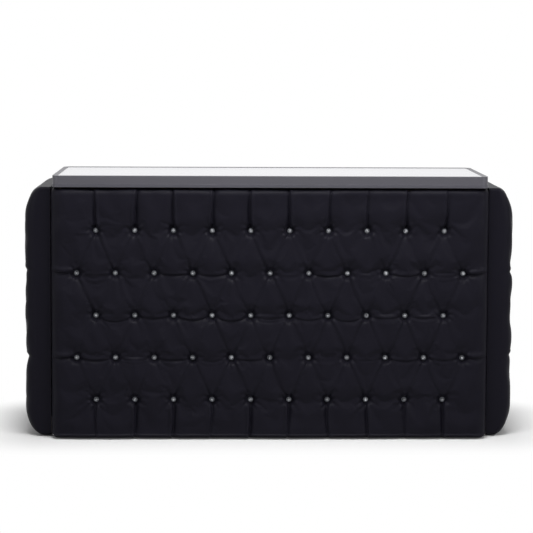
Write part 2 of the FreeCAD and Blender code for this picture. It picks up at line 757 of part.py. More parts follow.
def speed_rail():
    """An open trough for bottles behind the upper shelf, with a lower wall on the server's side."""
    near = shelf_span()[1]
    far = near + SPEED_RAIL_DEPTH
    half = SHELF_WIDTH / 2
    top = UPPER_SHELF_HEIGHT + SHELF_SHEET
    low = top - SPEED_RAIL_HEIGHT
    wall = SHELF_SHEET
    trough = box((-half, near, low), (half, far, top))
    trough = trough.cut(box((-half + wall, near + wall, low + wall), (half - wall, far - wall, top)))
    trough = trough.cut(box((-half, near + wall, low + SPEED_RAIL_FACE), (half, far, top)))
    return [rivet_holes(trough)]


def speed_rail_rivets():
    rivets = []
    for x, y, z in rivet_line():
        near = y - SHELF_SHEET
        far = y + SHELF_SHEET
        shank = cylinder(RIVET_RADIUS, (x, near, z), (x, far, z))
        heads = [cylinder(RIVET_HEAD_RADIUS, (x, near - RIVET_HEAD, z), (x, near, z)),
                 cylinder(RIVET_HEAD_RADIUS, (x, far, z), (x, far + RIVET_HEAD, z))]
        rivets.append(shank.multiFuse(heads).removeSplitter())
    return rivets


def all_nodes():
    """Every sub-part's solids under its node's name."""
    front = (FRONT_TUFTS, COUNTER_LENGTH / 2, FRONT_TUFT_MARGIN, PAD_CROWN)
    side = (WING_TUFTS, wing_half(), WING_TUFT_MARGIN, WING_CROWN)
    nodes = {
        "front_top_rail": front_top_rail(),
        "front_mid_rail": front_mid_rail(),
        "front_bottom_rail": front_bottom_rail(),
        "front_end_posts": front_end_posts(),
        "front_mid_posts": front_mid_posts(),
        "front_gussets": front_gussets(),
        "rail_end_caps": rail_end_caps(),
        "stop_bumpers": stop_bumpers(),
        "hinge_frame_leaves": hinge_frame_leaves(),
        "hinge_pins": hinge_pins(),
        "wheel_brackets": wheel_brackets(),
        "wheel_axles": wheel_axles(),
        "front_fastening_strips": front_fastening_strips(),
        "front_panel_board": front_panel_board(),
        "front_tufted_pad": on_front(tufted_pad(front)),
        "front_button_cups": on_front(button_cups(front)),
        "front_crystals": on_front(crystals(front)),
        "counter_edge_trim": counter_edge_trim(),
        "counter_deck": counter_deck(),
        "counter_core": counter_core(),
        "counter_battens": counter_battens(),
        "counter_pegs": counter_pegs(),
        "counter_magnets": counter_magnets(),
        "rack_brackets": rack_brackets(),
        "upper_shelf": upper_shelf(),
        "lower_shelf": lower_shelf(),
        "speed_rail": speed_rail(),
        "speed_rail_rivets": speed_rail_rivets(),
    }
    wing = {
        "wing_rails": wing_rails(),
        "wing_posts": wing_posts(),
        "wing_rail_plug": wing_rail_plug(),
        "wing_hinge_leaves": wing_hinge_leaves(),
        "wing_foot": wing_foot(),
        "wing_strike_plates": wing_strike_plates(),
        "wing_fastening_strips": wing_fastening_strips(),
        "wing_panel_board": wing_panel_board(),
        "wing_tufted_pad": on_wing(tufted_pad(side)),
        "wing_button_cups": on_wing(button_cups(side)),
        "wing_crystals": on_wing(crystals(side)),
        "wheel_hub": wheel_hub(X_WHEEL),
        "wheel_tyre": wheel_tyre(X_WHEEL),
    }
    for name, shapes in wing.items():
        nodes["right_" + name] = shapes
        nodes["left_" + name] = [mirrored(shape) for shape in shapes]
    return nodes


os.makedirs("parts", exist_ok=True)
for name, shapes in all_nodes().items():
    part = shapes[0] if len(shapes) == 1 else Part.makeCompound(shapes)
    part.exportStep(os.path.join("parts", name + ".step"))
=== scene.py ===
"""Portable bar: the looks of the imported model.

The tufted leatherette pads are modelled here and stand for the CAD pads. Every other piece is the
CAD node itself with its finish. Metres; X along the counter, the customer side faces -Y, Z is up.
"""

import json
import math
from typing import NamedTuple

import bpy
import numpy as np
from bpy.props import FloatProperty, FloatVectorProperty, IntProperty, PointerProperty
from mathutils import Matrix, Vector


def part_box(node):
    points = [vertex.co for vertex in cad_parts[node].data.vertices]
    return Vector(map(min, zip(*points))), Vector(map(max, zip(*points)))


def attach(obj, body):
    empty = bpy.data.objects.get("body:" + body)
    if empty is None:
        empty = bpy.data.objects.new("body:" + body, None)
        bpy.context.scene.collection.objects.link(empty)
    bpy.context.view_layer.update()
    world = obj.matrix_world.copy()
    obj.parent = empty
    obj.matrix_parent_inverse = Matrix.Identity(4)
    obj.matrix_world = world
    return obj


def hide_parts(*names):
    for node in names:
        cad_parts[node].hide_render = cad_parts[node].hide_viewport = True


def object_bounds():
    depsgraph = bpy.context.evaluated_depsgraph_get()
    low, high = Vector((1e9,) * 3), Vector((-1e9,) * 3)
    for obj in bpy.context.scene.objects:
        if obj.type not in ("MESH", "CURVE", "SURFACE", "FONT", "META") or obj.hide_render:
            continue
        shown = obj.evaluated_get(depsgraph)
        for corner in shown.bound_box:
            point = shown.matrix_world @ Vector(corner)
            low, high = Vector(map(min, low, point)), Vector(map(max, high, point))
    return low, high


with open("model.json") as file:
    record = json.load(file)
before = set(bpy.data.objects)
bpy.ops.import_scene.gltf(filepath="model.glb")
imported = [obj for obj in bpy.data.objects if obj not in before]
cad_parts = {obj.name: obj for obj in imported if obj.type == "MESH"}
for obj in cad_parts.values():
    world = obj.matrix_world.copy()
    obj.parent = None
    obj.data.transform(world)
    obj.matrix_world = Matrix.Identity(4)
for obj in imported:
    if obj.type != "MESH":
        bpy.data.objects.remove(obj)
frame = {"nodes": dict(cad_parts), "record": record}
CAD_BOX = [list(map(float, corner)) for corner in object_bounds()]

bl_info = {
    "name": "Portable bar",
    "version": (1, 0, 0),
    "blender": (4, 5, 0),
    "location": "View3D > Sidebar > Portable bar",
    "description": "Tufted pads, finishes and stage of a folding portable bar",
    "category": "Object",
}


# Sizes and colours

# Width of the picture and focal length of the camera, in pixels
PICTURE_PIXELS = 533
FOCAL_PIXELS = 1827

# From the lowest row of buttons up: how strongly it is gathered, and how likely it is to carry swags,
# which also sets how far they sag
ROW_GATHERS = (0.0, 0.25, 0.4, 0.25, 0.0)
ROW_SWAGS = (0.0, 0.4, 1.0, 0.4, 0.0)

# Reach and foot of the rounded rims of a pad: along its lower edge, its upper edge and its sides
FRONT_RIMS = ((0.024, 0.80), (0.030, 0.65), (0.055, 0.40))
WING_RIMS = ((0.120, 0.25), (0.130, 0.25), (0.050, 0.45))

# Up to this height over the trim's lower edge, the trim takes the bead's colour, which is painted shade.
BEAD_HEIGHT = 0.0128  # of the bead on the counter's trim
FLOOR_REACH = 30.0  # half the floor's width
WING_INSET = 0.09  # from the sides of the bar's box to the space between the wings
GRAVITY = 9.81  # metres per second squared


def linear(code):
    """An sRGB hex colour as linear red, green and blue."""
    values = np.array([int(code[place:place + 2], 16) for place in (1, 3, 5)]) / 255
    return tuple(np.where(values > 0.04045, ((values + 0.055) / 1.055) ** 2.4, values / 12.92))


def length(name, description, default):
    """A property that holds a length."""
    return FloatProperty(name=name, description=description, default=default, unit="LENGTH")


def angle(name, description, degrees):
    """A property that holds an angle."""
    return FloatProperty(name=name, description=description, default=math.radians(degrees), subtype="ANGLE")


def power(name, description, default):
    """A property that holds the power of a lamp."""
    return FloatProperty(name=name, description=description, default=default, unit="POWER")


def colour(name, description, code):
    """A property that holds a colour."""
    return FloatVectorProperty(name=name, description=description, default=linear(code), subtype="COLOR")


class BarPadSizes(bpy.types.PropertyGroup):
    """How the leatherette is drawn over the foam."""

    low_margin: length("Low margin", "From the lower edge to the first row of buttons", 0.155)
    top_margin: length("Top margin", "From the last row of buttons to the upper edge", 0.172)
    front_margin: length("Front margin", "From a side of the front pad to its long rows", 0.0975)
    wing_margin: length("Wing margin", "From a side of a wing's pad to its long rows", 0.1155)
    front_count: IntProperty(name="Front buttons", description="Buttons in a short row of the front pad",
                             default=10)
    wing_count: IntProperty(name="Wing buttons", description="Buttons in a short row of a wing's pad",
                            default=2)
    overhang: length("Overhang", "How far the front pad bulges past its board's ends", 0.005)
    front_corner: length("Front corner", "Radius of the front pad's corners", 0.020)
    wing_corner: length("Wing corner", "Radius of the wing pads' corners", 0.012)
    seat: length("Button seat", "Height of the leatherette round a button's crystal", 0.0484)
    seat_radius: length("Seat radius", "Radius of the flat seat round a button", 0.0132)
    core: length("Core", "Radius within which the gentle part of a dimple is level", 0.007)
    near_reach: length("Near reach", "How far the steep pit round a button reaches", 0.019)
    far_reach: length("Far reach", "How far the gentle part of a dimple reaches", 0.045)
    pit_share: FloatProperty(name="Pit share", description="Share of a dimple's depth that is its steep pit",
                             default=0.6)
    wrinkle: length("Wrinkle", "Height of the small wrinkles round a button", 0.0016)
    wrinkle_radius: length("Wrinkle radius", "Distance from a button at which its wrinkles peak", 0.028)
    wrinkle_width: length("Wrinkle width", "How far the wrinkles reach to either side of that", 0.014)
    wave: length("Wave", "Height of each slow wave in the foam", 0.0008)
    soft: length("Soft limit", "How gently the puffs level off below the crown", 0.002)
    sink: length("Sink", "How far the folds may sink below the seats", 0.004)
    pleat_width: length("Pleat width", "Half width of a sewn pleat", 0.003)
    pleat_span: length("Pleat span", "How far to the side a slanting pleat may run", 0.12)
    edge_pleat: length("Edge pleat", "Depth of the pleats that run out to the edges", 0.018)
    field_pleat: length("Field pleat", "Depth of the slanting pleats between buttons", 0.0068)
    swag: length("Swag", "Depth of the creases that hang from button to button", 0.0065)
    gather: length("Gather", "Depth of the hanging gathers between neighbours in a row", 0.0026)
    hem: length("Hem", "Height of the ridge along the lower edge of the front pad", 0.0065)
    hem_place: length("Hem place", "From the lower edge to the top of that ridge", 0.013)
    hem_width: length("Hem width", "Half width of that ridge", 0.0035)
    board: length("Board", "Thickness of the board that the leatherette is wrapped round", 0.015)
    turn_in: length("Turn-in", "Width of the leatherette that is turned in behind the board", 0.090)
    hide: length("Hide", "Thickness of the leatherette", 0.0008)
    wrap: length("Wrap", "How far the wrapped edge stands off the board's edge", 0.004)
    grid_step: length("Grid step", "Spacing of the points on a pad's face", 0.003)
    sim_step: length("Cloth step", "Spacing of the points of the cloth that is settled", 0.008)
    settle_frames: IntProperty(name="Settle frames", description="Frames for which the cloth settles",
                               default=21)
    slack: FloatProperty(name="Slack", description="Spare length of the leatherette over the foam",
                         default=0.012)
    settle_limit: length("Settle limit", "The most that a point moves as the cloth settles", 0.007)
    sewn_reach: length("Sewn reach", "Distance from a button within which the cloth is held", 0.018)
    sewn_edge: length("Sewn edge", "Distance from an edge within which the cloth is held", 0.012)
    calm_reach: length("Calm reach", "Distance from a button over which the cloth's move grows", 0.045)
    calm_edge: length("Calm edge", "Distance from an edge over which the cloth's move grows", 0.08)


class BarColours(bpy.types.PropertyGroup):
    """Colours of the bar's finishes."""

    leatherette: colour("Leatherette", "Soft-grain leatherette of the pads", "#16151c")
    trim: colour("Edge trim", "Anodised edging of the counter", "#4c4b51")
    # The bead's colour is the trim's with painted shade: a little darker, for how the light falls on the
    # bead.
    bead: colour("Edge bead", "Bead along the lower edge of the trim", "#46454c")
    deck: colour("Deck", "Brushed sheet of the counter's top", "#d4d4d7")
    coat: colour("Frame coat", "Powder coat of the tubes", "#1c1c1f")
    zinc: colour("Zinc plate", "Plated hinges, brackets and pegs", "#bcbec2")
    plastic: colour("Plastic", "Moulded caps, hubs and fastening strips", "#222226")
    rubber: colour("Rubber", "Tyres, feet and bumpers", "#1b1b1b")
    plywood: colour("Plywood", "Sanded birch plywood boards", "#c8a678")
    # The crystal's colour is also its painted glint; its dark facets are painted shade at 0.3 of it.
    crystal: colour("Crystal", "Foil-backed cut crystals", "#d2d4d9")
    # The cup's dark grey stands for chrome in the shaded pit round a button: painted shade.
    cup: colour("Button cup", "Chrome cup that holds each crystal", "#54565b")
    steel: colour("Steel", "Brushed shelves and trough", "#c2c4c8")


class BarStage(bpy.types.PropertyGroup):
    """Camera, floor and light."""

    camera_place: FloatVectorProperty(name="Camera place", description="Where the camera stands",
                                      default=(-0.19, -7.6, 1.58), subtype="TRANSLATION", unit="LENGTH")
    camera_yaw: angle("Camera yaw", "Turn of the camera to the left", -1.335)
    camera_pitch: angle("Camera pitch", "How far the camera looks down", 4.82)
    camera_roll: angle("Camera roll", "Turn of the camera about its line of sight", 0.27)
    focal_share: FloatProperty(name="Focal share", description="Focal length over the width of the picture",
                               default=FOCAL_PIXELS / PICTURE_PIXELS)
    shift: FloatProperty(name="Shift", description="Vertical shift that keeps the uprights nearly upright",
                         default=-0.12)
    floor_colour: colour("Floor", "Pale floor", "#e8e8e8")
    floor_fade: length("Floor fade", "Width of the strip round the bar over which the floor turns white", 0.4)
    room_light: FloatProperty(name="Room light", description="Strength of the light from all round",
                              default=0.06)
    key_light: power("Key light", "Power of the softbox above the front", 82.0)
    left_light: power("Left light", "Power of the softbox on the left", 28.5)
    right_light: power("Right light", "Power of the softbox on the right", 47.5)
    rear_light: power("Rear light", "Power of the softbox behind the bar", 38.0)


class Softbox(NamedTuple):
    """One softbox: its name, place, width and height, and the property of the stage for its power."""

    name: str
    place: tuple
    size: tuple
    power: str


SOFTBOX_AIM = Vector((0.0, 0.0, 0.6))
SOFTBOXES = (
    Softbox("Key", (0.1, -1.5, 2.7), (2.4, 1.0), "key_light"),
    Softbox("Left", (-3.6, -2.2, 2.0), (1.4, 2.2), "left_light"),
    Softbox("Right", (3.4, -2.2, 2.2), (1.4, 2.2), "right_light"),
    Softbox("Rear", (0.0, 2.6, 3.6), (3.0, 1.0), "rear_light"),
)


class PadPlan(NamedTuple):
    """One pad: its half width, corner radius, lower and upper edge, crown, side margin, buttons in a
    short row, the reach and foot of its rims (low, top, sides), the depth and steepness of its side
    pleats, the height of its hem, the percentage of its face that is drawn down from the crown, and a
    seed for the chances of hand work."""

    half: float
    corner: float
    low: float
    high: float
    crown: float
    margin: float
    count: int
    rims: tuple
    side_pleat: float
    side_steep: float
    hem: float
    drawn: float
    seed: int


# Surfaces of the pads

def stations(low, high, rim_low, rim_high, step):
    """Places along one side of a pad: evenly spaced in the field, and over each rounded rim at equal
    angles of a quarter circle, so that they crowd towards the edge."""
    def rim(reach):
        count = math.ceil(reach * math.pi / 2 / step)
        return reach * (1 - np.cos(np.linspace(0, math.pi / 2, count, endpoint=False)))
    start, end = low + rim_low, high - rim_high
    field = np.linspace(start, end, math.ceil((end - start) / step) + 1)
    return np.concatenate([low + rim(rim_low), field, high - rim(rim_high)[::-1]])


def shoulder(distance, reach, foot):
    """Share of the full height at a distance from an edge: a quarter ellipse from the foot up to one."""
    inward = 1 - np.clip(distance / reach, 0, 1)
    return foot + (1 - foot) * np.sqrt(1 - inward ** 2)


def along_fold(u, v, start, end, bow):
    """Place of every point along a fold line, from zero to one, its distance above that line, which is
    bowed as a parabola, and how far it lies past the line's ends."""
    run = np.subtract(end, start)
    span = np.hypot(*run)
    side = (run[0] * (v - start[1]) - run[1] * (u - start[0])) / span * (1 if run[0] > 0 else -1)
    place = (run[0] * (u - start[0]) + run[1] * (v - start[1])) / span ** 2
    inside = np.clip(place, 0, 1)
    past = np.maximum(np.abs(place - 0.5) - 0.5, 0) * span
    return inside, side - bow * 4 * inside * (1 - inside), past


def pleat(u, v, start, end, bow, depth, width, strength, steep=0.5, gentle=2.8, crest=0.4, rounding=0.6,
          run_out=0.006):
    """A folded pleat: the leatherette drops into the fold from above, steeply, and climbs out gently
    below, both as exponentials with a rounded bottom. A low roll, a bell three widths up and two wide,
    stands over the steep side. Strength gives its share of the depth by place."""
    place, side, past = along_fold(u, v, start, end, bow)
    scale = np.where(side > 0, steep, gentle) * width
    valley = np.exp(rounding - np.hypot(side / scale, rounding))
    roll = crest * np.exp(-((side - 3 * width) / (2 * width)) ** 2)
    return depth * strength(place) * np.exp(-(past / run_out) ** 2) * (roll - valley)


def gathers(u, v, left, right, depth, droop, count, phase, throat=0.010, fullest=0.45, breadth=0.5):
    """Gathers that hang between two neighbours in a row: waves across a fan of curves that meet at both
    buttons and sag as parabolas between them, strongest just below the row."""
    place = np.clip((u - left[0]) / (right[0] - left[0]), 0, 1)
    spread = throat + droop * 4 * place * (1 - place)
    fan = (left[1] - v) / spread
    wave = np.cos(2 * math.pi * count * fan + phase)
    window = np.exp(-((fan - fullest) / breadth) ** 2) * np.sin(math.pi * place) ** 0.7
    return depth * wave * window


def button_rows(plan, sizes):
    """Heights of the rows of buttons and the places along each: short rows and long rows in turn."""
    heights = np.linspace(plan.low + sizes.low_margin, plan.high - sizes.top_margin, len(ROW_GATHERS))
    pitch = 2 * (plan.half - plan.margin) / plan.count
    short = (np.arange(plan.count) - (plan.count - 1) / 2) * pitch
    long = (np.arange(plan.count + 1) - plan.count / 2) * pitch
    return [(height, long if row % 2 else short) for row, height in enumerate(heights)]


def button_dimples(u, v, rows, draw, sizes, rng):
    """The dimples, and how far each point belongs to a button's flat seat. Each button draws the face
    down by a steep pit, an exponential of the distance cubed, and by a gentle exponential. Small
    wrinkles, a cosine of the angle that twists with the distance, stand in a ring round it."""
    face = np.zeros_like(u)
    seat = np.zeros_like(u)
    for height, places in rows:
        for place in places:
            reach = np.hypot(u - place, v - height)
            turn = np.arctan2(v - height, u - place)
            pit = np.exp(-(reach / sizes.near_reach) ** 3)
            gentle = np.exp(-np.maximum(reach - sizes.core, 0) / sizes.far_reach)
            face -= draw * (sizes.pit_share * pit + (1 - sizes.pit_share) * gentle)
            ring = np.exp(-((reach - sizes.wrinkle_radius) / sizes.wrinkle_width) ** 2)
            folds = rng.integers(6, 10)
            phase = rng.uniform(0, 6.3)
            twist = rng.uniform(-60, 60)
            face += sizes.wrinkle * ring * np.cos(folds * turn + phase + reach * twist)
            seat = np.maximum(seat, np.exp(-(reach / sizes.seat_radius) ** 8))
    return face, seat


def slanting_pleats(u, v, rows, sizes, rng):
    """Pleats from each button to its neighbours in the row above, deepest at the buttons."""
    def strength(place):
        return 0.16 + 0.84 * np.abs(2 * place - 1) ** 1.4
    face = np.zeros_like(u)
    for (low_height, low_places), (high_height, high_places) in zip(rows[:-1], rows[1:]):
        for start in low_places:
            for end in high_places[np.abs(high_places - start) < sizes.pleat_span]:
                depth = sizes.field_pleat * rng.choice((0.35, 0.7, 1.1))
                bow = rng.uniform(-0.008, 0.008)
                face += pleat(u, v, (start, low_height), (end, high_height), bow, depth,
                              sizes.pleat_width * 1.3, strength)
    return face


def edge_pleats(u, v, rows, plan, sizes, rng):
    """Pleats that run out to the edges: up and down from the outer rows, and sideways from both ends of
    the long rows. They grow shallower towards the edge."""
    face = np.zeros_like(u)
    for (height, places), edge in ((rows[0], plan.low), (rows[-1], plan.high)):
        for place in places:
            fade = rng.uniform(0.3, 0.8)
            lean = rng.uniform(-0.012, 0.012)
            bow = rng.uniform(-0.004, 0.004)
            depth = sizes.edge_pleat * rng.uniform(0.7, 1.1)
            face += pleat(u, v, (place, height), (place + lean, edge), bow, depth, sizes.pleat_width,
                          lambda share: 1 + (fade - 1) * share)
    for height, places in rows[1::2]:
        for place in (places[0], places[-1]):
            end = (math.copysign(plan.half, place), height + rng.uniform(-0.01, 0.01))
            bow = rng.uniform(-0.006, 0.006)
            face += pleat(u, v, (place, height), end, bow, plan.side_pleat, sizes.pleat_width * 1.4,
                          lambda share: 1 - 0.2 * share, plan.side_steep)
    return face


def hanging_folds(u, v, rows, sizes, rng):
    """Gathers, and by chance swags, that hang between neighbours in a row. A swag is a sagging pleat that
    is deepest in its middle."""
    face = np.zeros_like(u)
    for strength, (height, places) in zip(ROW_GATHERS, rows):
        for left, right in zip(places[:-1], places[1:]):
            depth = sizes.gather * strength * rng.choice((0.2, 0.7, 1.4))
            droop = rng.uniform(0.018, 0.045)
            count = rng.uniform(1.2, 2.2)
            phase = rng.uniform(-0.8, 0.8)
            face += gathers(u, v, (left, height), (right, height), depth, droop, count, phase)
    for chance, (height, places) in zip(ROW_SWAGS, rows):
        for left, right in zip(places[:-1], places[1:]):
            if rng.random() < chance:
                bow = -rng.uniform(0.006, 0.028) * chance
                depth = sizes.swag * rng.uniform(0.6, 1.3)
                face += pleat(u, v, (left, height), (right, height), bow, depth, sizes.pleat_width,
                              lambda place: 0.5 + 0.5 * np.sin(math.pi * place), crest=0.1)
    return face


def foam_waves(u, v, sizes, rng):
    """Slow waves in the foam: the sum of sixteen sines of chance wavelength, direction and phase."""
    face = np.zeros_like(u)
    for _ in range(16):
        wavelength = rng.uniform(0.06, 0.30)
        heading = rng.uniform(0, math.pi)
        phase = rng.uniform(0, 6.3)
        along = u * math.cos(heading) + v * math.sin(heading)
        face += sizes.wave * np.sin(2 * math.pi / wavelength * along + phase)
    return face


def tufted_height(u, v, plan, sizes):
    """Height of a tufted pad over its board: the sum of the dimples, pleats, hanging folds and waves. The
    fullest puffs come up to the crown, as a soft limit, and the seats are level. Each rim is rounded
    as a quarter ellipse, and the hem is a bell along the lower edge."""
    rng = np.random.default_rng(plan.seed)
    rows = button_rows(plan, sizes)
    face, seat = button_dimples(u, v, rows, plan.crown - sizes.seat, sizes, rng)
    face += slanting_pleats(u, v, rows, sizes, rng)
    face += edge_pleats(u, v, rows, plan, sizes, rng)
    face += hanging_folds(u, v, rows, sizes, rng)
    face += foam_waves(u, v, sizes, rng)
    short = (np.percentile(face, plan.drawn) - face) / sizes.soft
    face = np.maximum(plan.crown - sizes.soft * np.logaddexp(0, short), sizes.seat - sizes.sink)
    face += (sizes.seat - face) * seat
    for distance, (reach, foot) in zip((v - plan.low, plan.high - v, plan.half - np.abs(u)), plan.rims):
        face = face * shoulder(distance, reach, foot)
    return face + plan.hem * np.exp(-((v - plan.low - sizes.hem_place) / sizes.hem_width) ** 2)


def grid_faces(rows, columns):
    """Corners of the quads between the points of a grid, and the points along its border."""
    index = np.arange(rows * columns).reshape(rows, columns)
    faces = np.stack([index[:-1, :-1], index[:-1, 1:], index[1:, 1:], index[1:, :-1]], -1).reshape(-1, 4)
    border = np.concatenate([index[0, :-1], index[:-1, -1], index[-1, :0:-1], index[:0:-1, 0]])
    return faces, border


def pad_mesh(name, points, turned, sizes):
    """A closed pad from its face, a grid of points (across, up, out). The border runs down past the
    board's edge, turns in behind the board, and comes back along it to the board's face, where one
    flat polygon closes it. Turned gives the order of the corners."""
    faces, border = grid_faces(*points.shape[:2])
    flat = points.reshape(-1, 3)
    rim = flat[border]
    middle = (rim.max(0) + rim.min(0)) / 2
    half = (rim.max(0) - rim.min(0)) / 2
    edge, turned_in = (middle + (rim - middle) * (1 - inset / half) for inset in (sizes.wrap, sizes.turn_in))
    board_back = -sizes.board
    hide_back = board_back - sizes.hide
    steps = ((rim, hide_back), (turned_in, hide_back), (turned_in, board_back), (edge, board_back),
             (edge, 0.0))
    loops = [np.column_stack([ring[:, :2], np.full(len(ring), out)]) for ring, out in steps]
    count = len(border)
    ids = [border] + [len(flat) + step * count + np.arange(count) for step in range(len(loops))]
    walls = [np.stack([np.roll(upper, -1), upper, lower, np.roll(lower, -1)], -1)
             for upper, lower in zip(ids[:-1], ids[1:])]
    order = slice(None, None, -1) if turned else slice(None)
    corners = np.concatenate([faces, *walls])[:, order]
    closing = ids[-1][::-1][order]
    mesh = bpy.data.meshes.new(name)
    mesh.from_pydata(np.concatenate([flat, *loops]), [], corners.tolist() + [closing.tolist()])
    smooth = np.zeros(len(mesh.polygons), dtype=bool)
    smooth[:len(faces)] = True
    mesh.polygons.foreach_set("use_smooth", smooth)
    return mesh


def settled(points, held, sizes):
    """How far each point of a coarse face moves when the leatherette, a little longer than the foam it
    covers, settles as cloth. It is held at the buttons and along the edges, pressed out by the foam
    and pulled down the pad by its weight. The move is capped."""
    rows, columns = points.shape[:2]
    mesh = bpy.data.meshes.new("Cloth")
    mesh.from_pydata(points.reshape(-1, 3), [], grid_faces(rows, columns)[0].tolist())
    cloth = bpy.data.objects.new("Cloth", mesh)
    bpy.context.collection.objects.link(cloth)
    group = cloth.vertex_groups.new(name="Sewn")
    group.add(np.flatnonzero(held.ravel()).tolist(), 1.0, "REPLACE")
    settings = cloth.modifiers.new("Settle", "CLOTH").settings
    settings.quality = 6
    settings.mass = 0.25
    settings.tension_stiffness = 20
    settings.compression_stiffness = 20
    settings.shear_stiffness = 8
    settings.bending_stiffness = 0.8
    settings.vertex_group_mass = "Sewn"
    settings.shrink_min = -sizes.slack
    settings.use_pressure = True
    settings.uniform_pressure_force = 1.0
    settings.effector_weights.gravity = 0.2
    scene = bpy.context.scene
    scene.gravity = (0.0, -GRAVITY, 0.0)
    for step in range(sizes.settle_frames):
        scene.frame_set(step + 1)
    done = cloth.evaluated_get(bpy.context.evaluated_depsgraph_get()).to_mesh()
    moved = np.empty(rows * columns * 3)
    done.vertices.foreach_get("co", moved)
    scene.frame_set(1)
    scene.gravity = (0.0, 0.0, -GRAVITY)
    bpy.data.objects.remove(cloth)
    bpy.data.meshes.remove(mesh)
    move = moved.reshape(points.shape) - points
    distance = np.linalg.norm(move, axis=-1, keepdims=True)
    return move * np.minimum(1, sizes.settle_limit / np.maximum(distance, 1e-9))


def cubic_weights(coarse, fine):
    """Weights that carry values from coarse stations to fine ones: cubic convolution over the four
    nearest stations, counted along the row of stations."""
    place = np.interp(fine, coarse, np.arange(len(coarse)))
    first = np.floor(place).astype(int)
    part = place - first
    shares = np.stack([((-0.5 * part + 1) * part - 0.5) * part, (1.5 * part - 2.5) * part ** 2 + 1,
                       ((-1.5 * part + 2) * part + 0.5) * part, (0.5 * part - 0.5) * part ** 2], -1)
    weights = np.zeros((len(fine), len(coarse)))
    for step in range(4):
        near = np.clip(first + step - 1, 0, len(coarse) - 1)
        np.add.at(weights, (np.arange(len(fine)), near), shares[:, step])
    return weights


def pad_grid(plan, step):
    """Columns and rows of points over a pad's face."""
    low, top, sides = (reach for reach, foot in plan.rims)
    columns = stations(-plan.half, plan.half, sides, sides, step)
    return columns, stations(plan.low, plan.high, low, top, step)


def pad_face(plan, sizes):
    """The points of a pad's face: the tufted height, moved as the settled cloth moves. The move grows
    from nothing at the buttons and the edges, as one less a bell."""
    columns, heights = pad_grid(plan, sizes.grid_step)
    u, v = np.meshgrid(columns, heights)
    face = np.stack([u, v, tufted_height(u, v, plan, sizes)], -1)
    few_columns, few_heights = pad_grid(plan, sizes.sim_step)
    u, v = np.meshgrid(few_columns, few_heights)
    near = np.full_like(u, np.inf)
    for height, places in button_rows(plan, sizes):
        near = np.minimum(near, np.hypot(u[..., None] - places, v[..., None] - height).min(-1))
    edge = np.minimum(np.minimum(v - plan.low, plan.high - v), plan.half - np.abs(u))
    held = (near < sizes.sewn_reach) | (edge < sizes.sewn_edge)
    move = settled(np.stack([u, v, tufted_height(u, v, plan, sizes)], -1), held, sizes)
    calm = (1 - np.exp(-(near / sizes.calm_reach) ** 2)) * (1 - np.exp(-(edge / sizes.calm_edge) ** 2))
    return face + np.einsum("ra,abk,cb->rck", cubic_weights(few_heights, heights), move * calm[..., None],
                            cubic_weights(few_columns, columns), optimize=True)


def rounded_corners(points, plan):
    """Draws a pad's corners in: the square of one radius at each corner becomes a quarter disc, each
    side times the root of one less half the square of the other."""
    middle = np.array([0.0, (plan.low + plan.high) / 2])
    straight = np.array([plan.half, (plan.high - plan.low) / 2]) - plan.corner
    offset = points[..., :2] - middle
    past = np.clip((np.abs(offset) - straight) / plan.corner, 0, 1)
    drawn_in = past * (np.sqrt(1 - past[..., ::-1] ** 2 / 2) - 1) * plan.corner * np.sign(offset)
    return np.concatenate([points[..., :2] + drawn_in, points[..., 2:]], -1)


def stand_pad(mesh, place):
    """Moves a pad's points from (across, up, out) to their place on the bar."""
    flat = np.empty(len(mesh.vertices) * 3)
    mesh.vertices.foreach_get("co", flat)
    across, up, out = flat.reshape(-1, 3).T
    mesh.vertices.foreach_set("co", np.stack(place(across, up, out), -1).ravel())
    mesh.update()


def add_pad(name, node, body, plan, place, turned):
    """Builds one tufted pad, gives it its finish and lets it stand for the CAD pad on its body."""
    sizes = bpy.context.scene.bar_pads
    mesh = pad_mesh(name, rounded_corners(pad_face(plan, sizes), plan), turned, sizes)
    stand_pad(mesh, place)
    mesh.materials.append(finish_of("black_leatherette"))
    pad = bpy.data.objects.new(name, mesh)
    bpy.context.collection.objects.link(pad)
    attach(pad, body)
    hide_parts(node)


# Finishes

# A Mix node's colour sockets share their names with others, so they go by number
MIX_FIRST, MIX_SECOND, MIX_RESULT = 6, 7, 2


def fill(tree, node, inputs):
    """Fills the inputs of a node. An input that is a socket is linked, any other is written."""
    for name, value in inputs.items():
        if isinstance(value, bpy.types.NodeSocket):
            tree.links.new(value, node.inputs[name])
        else:
            node.inputs[name].default_value = value


def add_node(tree, kind, inputs, **settings):
    """Adds a node with its settings and fills its inputs."""
    node = tree.nodes.new(kind)
    for name, value in settings.items():
        setattr(node, name, value)
    fill(tree, node, inputs)
    return node


def surface(name):
    """A new material, its node tree and its principled shader."""
    material = bpy.data.materials.new(name)
    material.use_nodes = True
    tree = material.node_tree
    return material, tree, tree.nodes["Principled BSDF"]


def stretched(tree, scale=(1, 1, 1)):
    """Object coordinates scaled along each axis."""
    place = add_node(tree, "ShaderNodeTexCoord", {}).outputs["Object"]
    return add_node(tree, "ShaderNodeMapping", {"Vector": place, "Scale": scale}).outputs["Vector"]


def rgba(plain, share=1.0):
    """A colour, or a share of it, with full alpha."""
    return (*(value * share for value in plain), 1.0)


def leatherette(colours):
    """Soft-grain leatherette, calendered: near black with a soft satin sheen over a fine pebble grain.
    The real pebbles are about 1 mm; they are drawn at 2.5 mm so that they show."""
    material, tree, shader = surface("Black leatherette")
    grain = add_node(tree, "ShaderNodeTexVoronoi", {"Vector": stretched(tree), "Scale": 1 / 0.0025},
                     feature="SMOOTH_F1")
    bump = add_node(tree, "ShaderNodeBump", {"Height": grain.outputs["Distance"], "Distance": 0.0003,
                                             "Strength": 0.35})
    fill(tree, shader, {"Base Color": rgba(colours.leatherette), "Roughness": 0.42,
                        "Specular IOR Level": 0.04, "Normal": bump.outputs["Normal"]})
    return material


